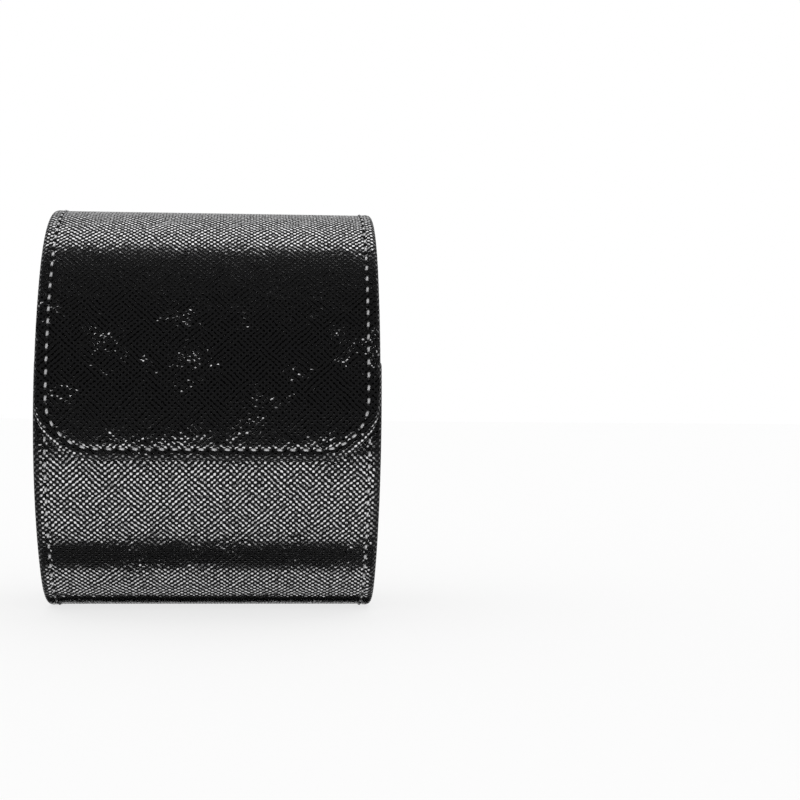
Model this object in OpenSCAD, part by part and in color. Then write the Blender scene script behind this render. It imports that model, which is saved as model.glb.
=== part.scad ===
// Travel case for one watch: a stiff oval roll in grained leather with a snap-down flap.
// Millimetres. X is the width, -Y the front, +Z up. The origin is the centre of the base flat.
// The side profile is a four-centre oval, so every layer of the wall is a set of true arcs
// swept about axes that run along X. Angles are in the YZ plane, from +Y towards +Z.

/* [Case] */
// Width of the case across the sides
case_w = 80; // [60:1:120]
// Height of the case
case_h = 98; // [84:1:130]
// Depth of the case from front panel to back, without the flap
case_d = 72; // [64:1:90]
// Radius of the rounded top
top_r = 30; // [26:0.5:32]
// Radius of the two corners beside the flat that the case stands on
corner_r = 22; // [12:0.5:26]

/* [Wall] */
// Thickness of the outer leather
skin_t = 1; // [0.6:0.1:1.4]
// Thickness of the stiffening board in the wrap
board_t = 1.6; // [1:0.1:2.4]
// Glue line between two layers
glue_t = 0.1; // [0.05:0.05:0.2]
// Radius on the turned edges of the wrap and the flap
edge_r = 0.9; // [0.4:0.1:1]
// Height of the front lip, under the flap
lip_z = 59; // [54:0.5:64]
// How far the leather is turned in behind the lip
lip_return = 8; // [4:0.5:12]

/* [Sides] */
// How far a side panel sits in from the edge of the wrap
cheek_inset = 0.4; // [0:0.1:1.5]
// Thickness of a side panel's board
cheek_board_t = 2; // [1.2:0.1:3]
// Thickness of a side panel's lining
cheek_lining_t = 0.8; // [0.5:0.1:1.5]

/* [Flap] */
// How far each side of the flap stops short of the case's side
flap_side_gap = 0.6; // [0:0.1:2]
// Height of the flap's lower edge
flap_z = 37; // [30:0.5:42]
// Radius of the flap's lower corners
flap_corner_r = 14; // [4:0.5:24]
// Gap between the closed flap and what it lies on
flap_gap = 0.4; // [0.3:0.05:0.8]
// Thickness of the flap's board
flap_board_t = 1; // [0.6:0.1:1.6]
// Thickness of the flap's lining
flap_lining_t = 0.9; // [0.6:0.1:1.4]

/* [Hinge] */
// Length of the rounded top from the back's shoulder up to the fold
hinge_rise = 14; // [8:0.5:18]
// Length of the boardless strip that folds
hinge_zone = 8; // [6:0.5:12]
// Slit between the folding strip and the panels that it joins
hinge_slit = 0.15; // [0.1:0.05:0.3]

/* [Snaps] */
// Distance between the two snap fasteners
snap_spacing = 44; // [30:1:60]
// Radius of the cap under the flap's leather
cap_r = 5; // [4:0.1:6]
// Thickness of the cap
cap_t = 0.4; // [0.3:0.05:0.6]
// Radius of the socket
socket_r = 5.2; // [4.6:0.1:6]
// Radius of the socket's mouth
mouth_r = 2.3; // [2.2:0.05:2.6]
// Radius of the head of the stud's nub
nub_r = 2.1; // [1.9:0.05:2.15]
// Radius of the stud's flange
flange_r = 4.8; // [4:0.1:6]
// Leather left under the stud's flange where it is pressed in
flange_floor = 0.3; // [0.2:0.05:0.4]
// Radius of the rivet that holds the stud
rivet_r = 1.3; // [1:0.05:1.5]
// Thickness of the rivet's head, let into the board
rivet_head_t = 0.6; // [0.4:0.05:0.8]

/* [Cushion] */
// Height of the watch cushion
cushion_h = 66; // [56:1:72]
// Depth of the watch cushion
cushion_d = 46; // [38:1:50]
// How much the cushion's girth narrows at each end
cushion_crown = 2.2; // [0.5:0.1:4]
// Thickness of the cushion's cover
cover_t = 1.2; // [0.8:0.1:2]
// Thickness of the cushion's end panels
end_t = 1.6; // [1:0.1:2.5]
// Radius of the piping round each end of the cushion
piping_r = 0.9; // [0.6:0.1:1.4]
// Running gap between the cushion and the case
cushion_gap = 0.3; // [0.2:0.05:1]

/* [Hidden] */
$fn = 64;

leather = [0.07, 0.07, 0.075];
suede = [0.2, 0.2, 0.21];
greyboard = [0.55, 0.5, 0.42];
nickel = [0.75, 0.75, 0.76];
foam = [0.85, 0.82, 0.7];

// Wall stacks. The turned-in leather behind the lip lies flush with the lining.
wall_t = 2 * skin_t + 2 * glue_t + board_t;
board_in = skin_t + glue_t;
lining_in = board_in + board_t + glue_t;
flap_t = skin_t + 2 * glue_t + flap_board_t + flap_lining_t;
flap_lining_in = board_in + flap_board_t + glue_t;
lining_in_fold = board_in + flap_lining_t;
cheek_t = skin_t + 2 * glue_t + cheek_board_t + cheek_lining_t;

// The case's oval: two long side arcs, a top arc and two corner arcs beside the base flat.
mid_z = case_h / 2;
half_d = case_d / 2;
top_rise = mid_z - top_r;
side_r = (half_d * half_d + top_rise * top_rise - top_r * top_r) / (2 * (half_d - top_r));
half_flat = half_d - side_r + sqrt(pow(side_r - corner_r, 2) - pow(mid_z - corner_r, 2));
top_c = [0, case_h - top_r];
front_c = [side_r - half_d, mid_z];
back_c = [half_d - side_r, mid_z];
front_corner_c = [-half_flat, corner_r];
back_corner_c = [half_flat, corner_r];
shoulder_a = atan2(top_c[1] - back_c[1], top_c[0] - back_c[0]);
corner_a = atan2(back_corner_c[1] - back_c[1], back_corner_c[0] - back_c[0]);
lip_a = 180 - asin((lip_z - mid_z) / side_r);

// The fold's axis lies on the outer face of the leather.
hinge_a = shoulder_a + deg(hinge_rise / top_r);
hinge_n = [cos(hinge_a), sin(hinge_a)];
hinge_p = top_c + top_r * hinge_n;
half_zone = hinge_zone / 2;
body_end_a = hinge_a - deg(half_zone / top_r);

// The flap leaves the oval tangentially at the fold and stands off the front by stand_off.
stand_off = flap_gap + flap_t;
centre_gap = side_r - top_r;
lean = (top_c - front_c) / norm(top_c - front_c) * hinge_n;
swell = (2 * centre_gap * stand_off + stand_off * stand_off)
    / (2 * centre_gap * (1 - lean) + 2 * stand_off);
flap_top_r = top_r + swell;
flap_top_c = top_c - swell * hinge_n;
flap_front_r = side_r + stand_off;
flap_shoulder_a = atan2(flap_top_c[1] - front_c[1], flap_top_c[0] - front_c[0]);
flap_start_a = hinge_a + deg(half_zone / flap_top_r);
flap_end_a = 180 + asin((mid_z - flap_z) / (flap_front_r - flap_t)) + 3;
flap_w = case_w - 2 * flap_side_gap;

// Snap stack, as distances in front of the case's front extreme.
snap_z = mid_z;
cap_dip = flap_front_r - skin_t - sqrt(pow(flap_front_r - skin_t, 2) - cap_r * cap_r);
socket_front = flap_gap + 0.1;
cap_back = stand_off - skin_t - glue_t - cap_dip;
socket_t = cap_back - cap_t - glue_t / 2 - socket_front;
mouth_t = 0.25;
flange_z = flange_floor - skin_t;
wire_r = 0.2;
wire_in = nub_r - 0.1;
wire_z = socket_front + mouth_t + wire_r + 0.05;
barrel_h = cap_back - cap_t - wire_z - wire_r - 0.05;
nub_h = socket_front + socket_t - 0.1;
hole_gap = 0.15;

// Neighbouring arcs are joined by running the tighter one on by lap, set in by tuck.
lap = 0.15;
tuck = 0.005;

// Cushion.
cheek_in_x = case_w / 2 - cheek_inset - cheek_t;
cushion_half_l = cheek_in_x - cushion_gap;
sleeve_half_l = cushion_half_l - end_t - glue_t;
girth_r = cushion_d / 2;
girth_flat = cushion_h - cushion_d;
cushion_z = wall_t + cushion_gap + cushion_h / 2;

function deg(a) = a * 180 / PI;

// Puts a YZ profile, extruded or turned about its own axis, in the case's frame.
module in_yz() {
    rotate([90, 0, 90]) children();
}

// Sweeps the section children(), drawn as [radius, x], about an X axis through c.
module arc_sweep(c, a0, a1) {
    in_yz() translate([c[0], c[1], 0]) rotate([0, 0, a0]) rotate_extrude(angle = a1 - a0)
        children();
}

// A plain strip of the wall: depth d0 to d1 below radius r, w wide.
module strip(r, d0, d1, w) {
    translate([r - d1, -w / 2]) square([d1 - d0, w]);
}

// The full wall's section with its two outer edges rounded.
module rounded_wall(r, t, w) {
    translate([r - t, -w / 2]) square([t - edge_r, w]);
    translate([r - t, edge_r - w / 2]) square([t, w - 2 * edge_r]);
    for (side = [-1, 1])
        translate([r - edge_r, side * (w / 2 - edge_r)]) circle(r = edge_r);
}

// The leather's section: a skin whose sides are turned in over the wall's edges.
module turned_skin(r, t, w) {
    difference() {
        rounded_wall(r, t, w);
        translate([r - t - 1, skin_t - w / 2]) square([t + 1 - skin_t, w - 2 * skin_t]);
    }
}

// One arc of the wrap. The section children() reads its radius $r and its width $w.
module wrap_arc(c, r, w, a0, a1) {
    $r = r;
    $w = w;
    arc_sweep(c, a0, a1) children();
}

// The wrap runs from the fold down the back, under the base and up to end_a on the front.
module wrap(w, end_a) {
    in_w = w - 2 * tuck;
    in_r = corner_r - tuck;
    over = deg(lap / corner_r);
    wrap_arc(top_c, top_r - tuck, in_w, shoulder_a - deg(lap / top_r), body_end_a) children();
    wrap_arc(back_c, side_r, w, corner_a, shoulder_a) children();
    wrap_arc(back_corner_c, in_r, in_w, -90 - over, corner_a + over) children();
    wrap_flat(w) children();
    wrap_arc(front_corner_c, in_r, in_w, 180 - corner_a - over, 270 + over) children();
    wrap_arc(front_c, side_r, w, end_a, 180 - corner_a) children();
}

// The flat under the base.
module wrap_flat(w) {
    $r = corner_r;
    $w = w;
    translate([0, half_flat, corner_r]) rotate([90, 0, 0]) linear_extrude(2 * half_flat)
        rotate(-90) children();
}

// The leather goes round the lip and is turned in behind it.
module lip() {
    nose_r = wall_t / 2;
    nose_c = front_c + (side_r - nose_r) * [cos(lip_a), sin(lip_a)];
    over = deg(lap / 3 / nose_r);
    arc_sweep(nose_c, lip_a - 180 - over, lip_a + over)
        turned_skin(nose_r - tuck, nose_r - tuck, case_w - 2 * tuck);
    arc_sweep(front_c, lip_a, lip_a + deg(lip_return / side_r))
        strip(side_r, wall_t - skin_t, wall_t, case_w - skin_t);
}

// Puts its children at the two snaps, with their Z pointing out of the front.
module at_snaps() {
    for (side = [-1, 1])
        translate([side * snap_spacing / 2, -half_d, snap_z]) rotate([90, 0, 0]) children();
}

// A hole at each snap; z0 and z1 are distances in front of the case's front extreme.
module snap_hole(r, z0, z1) {
    at_snaps() translate([0, 0, z0]) cylinder(r = r, h = z1 - z0);
}

module body_leather() {
    color(leather) difference() {
        union() {
            wrap(case_w, lip_a) turned_skin($r, wall_t, $w);
            lip();
        }
        snap_hole(flange_r + hole_gap, flange_z, 1);
        snap_hole(rivet_r + hole_gap, -skin_t - 1, 1);
    }
}

module body_board() {
    color(greyboard) difference() {
        wrap(case_w - 2 * board_in, lip_a) strip($r, board_in, board_in + board_t, $w);
        snap_hole(rivet_r + hole_gap, -wall_t, 0);
        snap_hole(flange_r, -wall_t, -lining_in + glue_t + rivet_head_t);
    }
}

// The lining stops at the turned-in leather of the lip.
module body_lining() {
    end_a = lip_a + deg((lip_return + glue_t) / side_r);
    color(suede) wrap(case_w - 2 * board_in, end_a) strip($r, lining_in, wall_t, $w);
}

// The case's oval, drawn in by d all round.
module oval(d) {
    high_z = top_c[1] + (top_r - d) * sin(shoulder_a);
    low_z = corner_r + (corner_r - d) * sin(corner_a);
    intersection() {
        translate(front_c) circle(r = side_r - d);
        translate(back_c) circle(r = side_r - d);
        translate([-case_d, low_z]) square([2 * case_d, high_z - low_z]);
    }
    translate(top_c) circle(r = top_r - d - tuck);
    for (c = [front_corner_c, back_corner_c])
        translate(c) circle(r = corner_r - d - tuck);
    translate([-half_flat, d]) square([2 * half_flat, corner_r]);
}

// The part of a disc, radius r about c, between two points of its rim as seen from eye.
module slice(c, r, a0, a1, eye) {
    mid = (a0 + a1) / 2;
    rim = [for (a = [a0, mid, a1]) c + r * [cos(a), sin(a)] - eye];
    intersection() {
        translate(c) circle(r = r);
        polygon([eye, eye + 2 * rim[0], eye + 3 * rim[1], eye + 2 * rim[2]]);
    }
}

// What lies under the closed flap, drawn in by d from the flap's outer face.
module under_flap(d) {
    back_a = hinge_a + deg((d - flap_t) / flap_top_r);
    low_a = lip_a - deg((wall_t / 2 + d - flap_t) / side_r);
    over = deg(lap / flap_top_r);
    slice(flap_top_c, flap_top_r - d - tuck, back_a, flap_shoulder_a + over, [0, mid_z]);
    slice(front_c, flap_front_r - d, flap_shoulder_a, low_a, [half_d / 3, mid_z + 4]);
}

// What lies under the fold, where the wall is only leather and lining.
module under_fold(inset) {
    trim = deg((flap_gap + inset) / top_r);
    slice(top_c, top_r - lining_in_fold - flap_gap - inset, body_end_a + trim, flap_start_a - trim,
        [2, mid_z + 8]);
}

// A side panel's outline: inside the wrap, and out to the flap where the case is open.
module cheek_outline(inset) {
    oval(wall_t + glue_t + inset);
    under_fold(inset);
    under_flap(flap_t + flap_gap + inset);
}

// One layer of a side panel, x0 to x0 + t in from the edge of the wrap.
module cheek_layer(side, x0, t) {
    x = case_w / 2 - x0 - t;
    mirror([side < 0 ? 1 : 0, 0, 0]) translate([x, 0, 0]) in_yz() linear_extrude(t) children();
}

module cheek_leather(side) {
    color(leather) difference() {
        cheek_layer(side, cheek_inset, cheek_t) cheek_outline(0);
        cheek_layer(side, cheek_inset + skin_t, cheek_t) cheek_outline(skin_t);
    }
}

module cheek_board(side) {
    color(greyboard) cheek_layer(side, cheek_inset + board_in, cheek_board_t)
        cheek_outline(board_in);
}

module cheek_lining(side) {
    color(suede) cheek_layer(side, cheek_inset + cheek_t - cheek_lining_t, cheek_lining_t)
        cheek_outline(board_in);
}

// The flap's two arcs as a plain strip from depth d0 to d1, wider than the flap.
module flap_sweep(d0, d1, start_a) {
    arc_sweep(flap_top_c, start_a, flap_shoulder_a + deg(lap / flap_top_r))
        strip(flap_top_r - tuck, d0, d1, case_w - 2 * tuck);
    arc_sweep(front_c, flap_shoulder_a, flap_end_a) strip(flap_front_r, d0, d1, case_w);
}

// The flap's outline from the front: straight sides and two round lower corners.
module flap_outline(inset) {
    r = flap_corner_r - inset;
    half_w = flap_w / 2 - inset;
    corner_z = flap_z + flap_corner_r;
    translate([-half_w, corner_z]) square([2 * half_w, case_h]);
    translate([r - half_w, flap_z + inset]) square([2 * (half_w - r), r + tuck]);
    for (side = [-1, 1])
        translate([side * (half_w - r), corner_z]) circle(r = r - tuck);
}

// One layer of the flap, cut to the outline.
module flap_layer(d0, d1, inset, start_a) {
    intersection() {
        flap_sweep(d0, d1, start_a);
        translate([0, case_d, 0]) rotate([90, 0, 0]) linear_extrude(2 * case_d)
            flap_outline(inset);
    }
}

module flap_leather() {
    color(leather) difference() {
        flap_layer(0, flap_t, 0, flap_start_a);
        flap_layer(skin_t, flap_t + 1, skin_t, flap_start_a - 1);
    }
}

module flap_board() {
    color(greyboard) difference() {
        flap_layer(board_in, board_in + flap_board_t, board_in, flap_start_a);
        snap_hole(max(cap_r, socket_r) + hole_gap, 0, stand_off - skin_t);
    }
}

module flap_lining() {
    color(suede) difference() {
        flap_layer(flap_lining_in, flap_t, board_in, flap_start_a);
        snap_hole(socket_r + hole_gap, 0, stand_off - skin_t);
    }
}

// The leather and lining between the two boards, where the flap folds.
module fold_strip(d0, d1, w) {
    arc_sweep(top_c, body_end_a + deg(hinge_slit / top_r), hinge_a + deg(lap / top_r))
        strip(top_r - tuck, d0, d1, w - 2 * tuck);
    arc_sweep(flap_top_c, hinge_a, flap_start_a - deg(hinge_slit / flap_top_r))
        strip(flap_top_r, d0, d1, w);
}

module hinge_leather() {
    color(leather) fold_strip(0, skin_t, flap_w);
}

module hinge_lining() {
    color(suede) fold_strip(board_in, lining_in_fold, flap_w - 2 * board_in);
}

// Stud: a flange pressed into the leather and a nub with a rounded head and a neck.
module snap_studs() {
    neck_r = nub_r - 0.4;
    head_r = 0.18;
    color(nickel) at_snaps() rotate_extrude() difference() {
        union() {
            translate([0, flange_z + glue_t]) square([flange_r, -flange_z - glue_t]);
            square([neck_r, nub_h - head_r]);
            translate([0, nub_h - 2 * head_r]) square([nub_r - head_r, 2 * head_r]);
            translate([nub_r - head_r, nub_h - head_r]) circle(r = head_r);
        }
        translate([0, -skin_t]) square([rivet_r + 0.05, skin_t + 0.6]);
    }
}

// Rivet: a head let into the board under the lining and a shank up into the stud.
module snap_rivets() {
    head_z = -lining_in + glue_t;
    color(nickel) at_snaps() {
        translate([0, 0, head_z]) cylinder(r = flange_r - hole_gap, h = rivet_head_t - glue_t);
        translate([0, 0, head_z]) cylinder(r = rivet_r, h = 0.55 - head_z);
    }
}

// Cap: a disc under the flap's leather with a barrel that grips the socket.
module snap_caps() {
    color(nickel) at_snaps() {
        translate([0, 0, cap_back - cap_t]) cylinder(r = cap_r, h = cap_t);
        translate([0, 0, cap_back - cap_t - barrel_h]) difference() {
            cylinder(r = mouth_r + 0.4, h = barrel_h + cap_t / 2);
            translate([0, 0, -1]) cylinder(r = mouth_r + 0.1, h = barrel_h + 1);
        }
    }
}

// Socket: a rolled disc with a mouth for the nub and a recess for the barrel and spring.
module snap_sockets() {
    recess_r = mouth_r + 0.6;
    roll_r = 0.3;
    color(nickel) at_snaps() translate([0, 0, socket_front]) rotate_extrude() difference() {
        union() {
            translate([0, roll_r]) square([socket_r, socket_t - roll_r]);
            square([socket_r - roll_r, socket_t]);
            translate([socket_r - roll_r, roll_r]) circle(r = roll_r);
        }
        translate([-1, -1]) square([mouth_r + 1, socket_t + 2]);
        translate([-1, mouth_t]) square([recess_r + 1, socket_t]);
    }
}

// Spring: an open ring of wire in the barrel, which clicks behind the nub's head.
module snap_springs() {
    gap_a = 40;
    color(nickel) at_snaps() translate([0, 0, wire_z]) rotate([0, 0, gap_a / 2])
        rotate_extrude(angle = 360 - gap_a) translate([wire_in + wire_r, 0]) circle(r = wire_r);
}

// Half of the cushion's lengthwise section: a crowned edge between two ends.
module crowned_section(r, half_l, crown) {
    bow_r = (half_l * half_l + crown * crown) / (2 * crown);
    intersection() {
        translate([r - bow_r, 0]) circle(r = bow_r, $fn = 256);
        translate([0, -half_l]) square([r + 1, 2 * half_l]);
    }
}

// The section turned about the cushion's two round ends, with a flat run between them.
module stadium(flat) {
    for (top = [0, 1])
        in_yz() translate([0, cushion_z + (top ? flat / 2 : -flat / 2), 0])
            rotate([0, 0, top ? 0 : 180]) rotate_extrude(angle = 180) children();
    for (turn = [0, 180])
        translate([0, 0, cushion_z - flat / 2]) rotate([0, 0, turn]) linear_extrude(flat)
            rotate(90) children();
}

module cushion_block(t, half_l) {
    stadium(girth_flat) crowned_section(girth_r - t, half_l, cushion_crown);
}

module cushion_cover() {
    color(suede) difference() {
        cushion_block(0, sleeve_half_l);
        cushion_block(cover_t, sleeve_half_l + 1);
    }
}

module cushion_foam() {
    color(foam) cushion_block(cover_t + glue_t, sleeve_half_l);
}

// Outline of the cushion's ends, r out from the two round centres.
module end_outline(r) {
    in_yz() for (end = [-1, 1])
        translate([0, cushion_z + end * girth_flat / 2, 0]) cylinder(r = r, h = end_t);
    translate([0, -r, cushion_z - girth_flat / 2]) cube([end_t, 2 * r, girth_flat]);
}

module cushion_end(side) {
    color(suede) mirror([side < 0 ? 1 : 0, 0, 0]) translate([cushion_half_l - end_t, 0, 0])
        end_outline(girth_r - cushion_crown - 2 * piping_r);
}

module cushion_piping(side) {
    ring_r = girth_r - cushion_crown - piping_r + glue_t;
    x = cushion_half_l - piping_r;
    color(leather) mirror([side < 0 ? 1 : 0, 0, 0]) translate([x, 0, 0])
        stadium(girth_flat) translate([ring_r, 0]) circle(r = piping_r - glue_t);
}

body_leather();
body_board();
body_lining();
cheek_leather(-1);  // left_cheek_leather
cheek_leather(1);  // right_cheek_leather
cheek_board(-1);  // left_cheek_board
cheek_board(1);  // right_cheek_board
cheek_lining(-1);  // left_cheek_lining
cheek_lining(1);  // right_cheek_lining
snap_studs();
snap_rivets();
flap_leather();
flap_board();
flap_lining();
snap_caps();
snap_sockets();
snap_springs();
hinge_leather();
hinge_lining();
cushion_cover();
cushion_foam();
cushion_end(-1);  // left_cushion_end
cushion_end(1);  // right_cushion_end
cushion_piping(-1);  // left_cushion_piping
cushion_piping(1);  // right_cushion_piping
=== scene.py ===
# %% [markdown]
# # A stiff travel roll for one watch
# The case is a boarded wrap of grained leather, closed at both sides by leather panels. A flap
# folds over the front and snaps shut on a loose cushion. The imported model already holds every
# board, snap and clearance, so this lesson only dresses it: soft turned edges, sewn rows,
# a padded cushion, and finishes that are made of nodes.

from math import asin, atan, atan2, cos, degrees, inf, pi, radians, sin, sqrt

import bmesh
import bpy
import numpy as np
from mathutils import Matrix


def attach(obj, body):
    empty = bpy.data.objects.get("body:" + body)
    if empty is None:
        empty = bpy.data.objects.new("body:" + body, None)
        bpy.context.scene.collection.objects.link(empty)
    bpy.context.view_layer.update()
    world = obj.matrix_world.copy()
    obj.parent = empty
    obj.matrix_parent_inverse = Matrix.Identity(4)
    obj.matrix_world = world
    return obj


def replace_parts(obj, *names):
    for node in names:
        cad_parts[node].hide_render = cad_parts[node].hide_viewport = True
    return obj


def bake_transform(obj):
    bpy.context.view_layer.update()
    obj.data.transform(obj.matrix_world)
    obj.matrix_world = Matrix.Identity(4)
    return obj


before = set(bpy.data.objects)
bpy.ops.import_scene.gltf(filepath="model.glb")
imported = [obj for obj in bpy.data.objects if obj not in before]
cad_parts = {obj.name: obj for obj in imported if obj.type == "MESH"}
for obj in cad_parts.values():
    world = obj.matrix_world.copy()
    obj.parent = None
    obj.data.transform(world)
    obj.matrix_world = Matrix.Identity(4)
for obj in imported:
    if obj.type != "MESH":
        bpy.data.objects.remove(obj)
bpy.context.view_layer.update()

# %% [markdown]
# ## The case's own measures
# Side on, the case is an oval of true arcs. The leather is a sheet, so each leather piece can be
# made by walking along those arcs and laying a cross-section down at every step. The sizes below
# are the case's own, in millimetres, and MM turns them into Blender's metres at the last moment.

# %% Sizes of the case
MM = 0.001
CASE_W, CASE_H, CASE_D, TOP_R, CORNER_R = 80.0, 98.0, 72.0, 30.0, 22.0
SKIN, WALL, LINING_DEPTH, FOLD_DEPTH = 1.0, 3.8, 2.8, 2.0
FLAP_T, FLAP_LINING_DEPTH, FLAP_GAP, FLAP_W, FLAP_LOW_Z, FLAP_CORNER = 3.1, 2.2, 0.4, 78.8, 37.0, 14.0
LIP_Z, LIP_RETURN, HINGE_RISE, HINGE_ZONE = 59.0, 8.0, 14.0, 8.0
HALF_D, MID_Z = CASE_D / 2, CASE_H / 2
SIDE_R = (HALF_D**2 + (MID_Z - TOP_R) ** 2 - TOP_R**2) / (2 * (HALF_D - TOP_R))
HALF_FLAT = HALF_D - SIDE_R + sqrt((SIDE_R - CORNER_R) ** 2 - (MID_Z - CORNER_R) ** 2)
TOP_C, FRONT_C, BACK_C = (0.0, CASE_H - TOP_R), (SIDE_R - HALF_D, MID_Z), (HALF_D - SIDE_R, MID_Z)
SHOULDER = degrees(atan2(TOP_C[1] - BACK_C[1], TOP_C[0] - BACK_C[0]))
CORNER = degrees(atan2(CORNER_R - MID_Z, HALF_FLAT - BACK_C[0]))
LIP = 180 - degrees(asin((LIP_Z - MID_Z) / SIDE_R))
HINGE = SHOULDER + degrees(HINGE_RISE / TOP_R)
BODY_END = HINGE - degrees(HINGE_ZONE / 2 / TOP_R)
print("side radius", round(SIDE_R, 3), "hinge at", round(HINGE, 2), "degrees")

# %% [markdown]
# The flap leaves the oval at the fold and stands a little off the front, so that its boards clear
# the case. Its two arcs follow from that stand-off.

# %% Arcs of the flap
def heading(angle):
    """The unit vector that points this way in the case's side view."""
    return np.array([cos(radians(angle)), sin(radians(angle))])


STAND_OFF = FLAP_GAP + FLAP_T
centre_gap, centres = SIDE_R - TOP_R, np.array(TOP_C) - FRONT_C
lean = centres @ heading(HINGE) / np.linalg.norm(centres)
swell = (2 * centre_gap * STAND_OFF + STAND_OFF**2) / (2 * centre_gap * (1 - lean) + 2 * STAND_OFF)
FLAP_TOP_R, FLAP_FRONT_R = TOP_R + swell, SIDE_R + STAND_OFF
FLAP_TOP_C = tuple(np.array(TOP_C) - swell * heading(HINGE))
FLAP_SHOULDER = degrees(atan2(FLAP_TOP_C[1] - MID_Z, FLAP_TOP_C[0] - FRONT_C[0]))
FLAP_START = HINGE + degrees(HINGE_ZONE / 2 / FLAP_TOP_R)
FLAP_END = 180 + degrees(asin((MID_Z - FLAP_LOW_Z) / FLAP_FRONT_R))
print("flap radii", round(FLAP_TOP_R, 2), round(FLAP_FRONT_R, 2))


# %% [markdown]
# ## Walking along arcs
# `walk` turns a row of arcs into evenly spaced stations. Each station keeps a point on the outer
# face, the direction that points out of the leather, and how far along the sheet it is. Even
# spacing matters because the stitches are laid by that running length. A negative radius walks
# the inside of an arc, which the turned-in lip needs.

# %% Stations along a row of arcs
def run_lengths(points):
    return np.concatenate([[0], np.cumsum(np.linalg.norm(np.diff(points, axis=0), axis=1))])


def read_off(runs, gone, rows):
    """The rows at the running lengths in runs, when gone is the length at each row."""
    return np.stack([np.interp(runs, gone, rows[:, i]) for i in (0, 1)], axis=-1)


def unit(vectors):
    return vectors / np.linalg.norm(vectors, axis=1)[:, None]


def walk(arcs, step=0.5, start=0.0, fine=0.1):
    """Arcs are (centre, radius, first, last), in millimetres and degrees."""
    points, normals = [], []
    for centre, radius, first, last in arcs:
        steps = round(abs(radians(last - first) * radius) / fine)
        for angle in np.linspace(first, last, steps + 1):
            points.append(np.array(centre) + abs(radius) * heading(angle))
            normals.append(heading(angle) * (1 if radius > 0 else -1))
    points, normals = np.array(points), np.array(normals)
    gone = run_lengths(points)
    keep = np.concatenate([[True], np.diff(gone) > 1e-9])
    points, normals, gone = points[keep], normals[keep], gone[keep]
    at = np.linspace(0, gone[-1], round(gone[-1] / step) + 1)
    normal = unit(read_off(at, gone, normals))
    return {"point": read_off(at, gone, points), "normal": normal, "along": at + start, "length": gone[-1]}


def place(line, x, along, depth):
    """Points in metres at running length along, x across and depth under the outer face."""
    p, n = (read_off(along, line["along"], line[key]) for key in ("point", "normal"))
    yz = p - n * np.asarray(depth)[..., None]
    return np.concatenate([np.asarray(x)[..., None], yz], axis=-1) * MM


def wrap_arcs(inward=0.0, last=LIP - 360):
    """The arcs of the wrap's outer face, or of a face that lies inward of it."""
    return [
        (TOP_C, TOP_R - inward, BODY_END, SHOULDER),
        (BACK_C, SIDE_R - inward, SHOULDER, CORNER),
        ((HALF_FLAT, CORNER_R), CORNER_R - inward, CORNER, -90),
        ((-HALF_FLAT, CORNER_R), CORNER_R - inward, -90, -180 - CORNER),
        (FRONT_C, SIDE_R - inward, -180 - CORNER, last),
    ]


wrap_line = walk(wrap_arcs())
print("the wrap is cut", round(wrap_line["length"], 1), "mm long")

# %% [markdown]
# The fold and the flap carry on in the same sheet, up from the fold. Their running length counts
# backwards from the wrap's start, so that the grain and the sewn rows run through unbroken.

# %% Stations of the fold and the flap
fold_line = walk([(TOP_C, TOP_R, BODY_END, HINGE), (FLAP_TOP_C, FLAP_TOP_R, HINGE, FLAP_START)])
flap_line = walk(
    [(FLAP_TOP_C, FLAP_TOP_R, FLAP_START, FLAP_SHOULDER), (FRONT_C, FLAP_FRONT_R, FLAP_SHOULDER, FLAP_END)],
    start=fold_line["length"],
)
fold_len, flap_len = fold_line["length"], flap_line["length"]
print("fold", round(fold_len, 1), "mm, flap", round(flap_len, 1), "mm")

# %% [markdown]
# ## Sewn relief
# A sewn edge isn't flat: the turned hem is a little proud, the thread pulls a groove into the
# leather, and each hole is a small pit. These are shapes, so they are real depth in the mesh and
# not bump. One function gives the depth for every sewn edge, from the distance in from the edge
# and the running length.

# %% Depth of a sewn edge
ROW_IN, PITCH_WANTED, EASE_IN = 2.8, 3.0, 0.15
GROOVE, PIT, DIP, BELLY = 0.2, 0.24, 0.12, 0.05
flap_inner, corner_reach = FLAP_W / 2 - FLAP_CORNER, FLAP_CORNER - ROW_IN
flap_straight = flap_len - FLAP_CORNER
half_run = fold_len + flap_straight + corner_reach * pi / 2 + flap_inner
PITCH = half_run / round(half_run / PITCH_WANTED)


def bell(offset, width):
    return np.exp(-((offset / width) ** 2))


def sewn_depth(inset, along, shoulder):
    """How far the leather is pressed in; the relief begins just past the rounded shoulder."""
    row, to_hole = inset - ROW_IN, (along + PITCH / 2) % PITCH - PITCH / 2
    groove = GROOVE * bell(row, 0.55)
    pit = PIT * bell(row, 0.4) * bell(to_hole, 0.42)
    dip = DIP * np.clip(row / 0.9, 0, 1)
    belly = BELLY * bell(inset - 1.2, 0.6) * np.cos(2 * np.pi * along / PITCH)
    depth = groove + pit + dip + belly * (inset < ROW_IN + 1)
    return depth * np.clip((inset - shoulder) / EASE_IN, 0, 1)


ROW_STEPS = [ROW_IN + step for step in (-0.7, -0.45, -0.28, -0.13, 0, 0.13, 0.28, 0.5, 0.8, 1.3, 2.1)]
EDGE_STEPS = [1.3, 1.55, 1.8] + ROW_STEPS + [6, 8, 10.5, 13.5]
print("one stitch every", round(PITCH, 3), "mm,", ROW_IN, "mm in from the edge")


# %% [markdown]
# ## Making a mesh
# Every piece ends in the same small helper. It makes the object, smooths it, keeps the real
# corners sharp, and stores each point's place on the flat sheet, so that grain can follow the
# leather round every bend. Most pieces are rings of points with quads between them.

# %% Mesh helpers
scene = bpy.context.scene


def add_ring(points, rings, ring):
    rings.append(list(range(len(points), len(points) + len(ring))))
    points += ring


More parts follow.
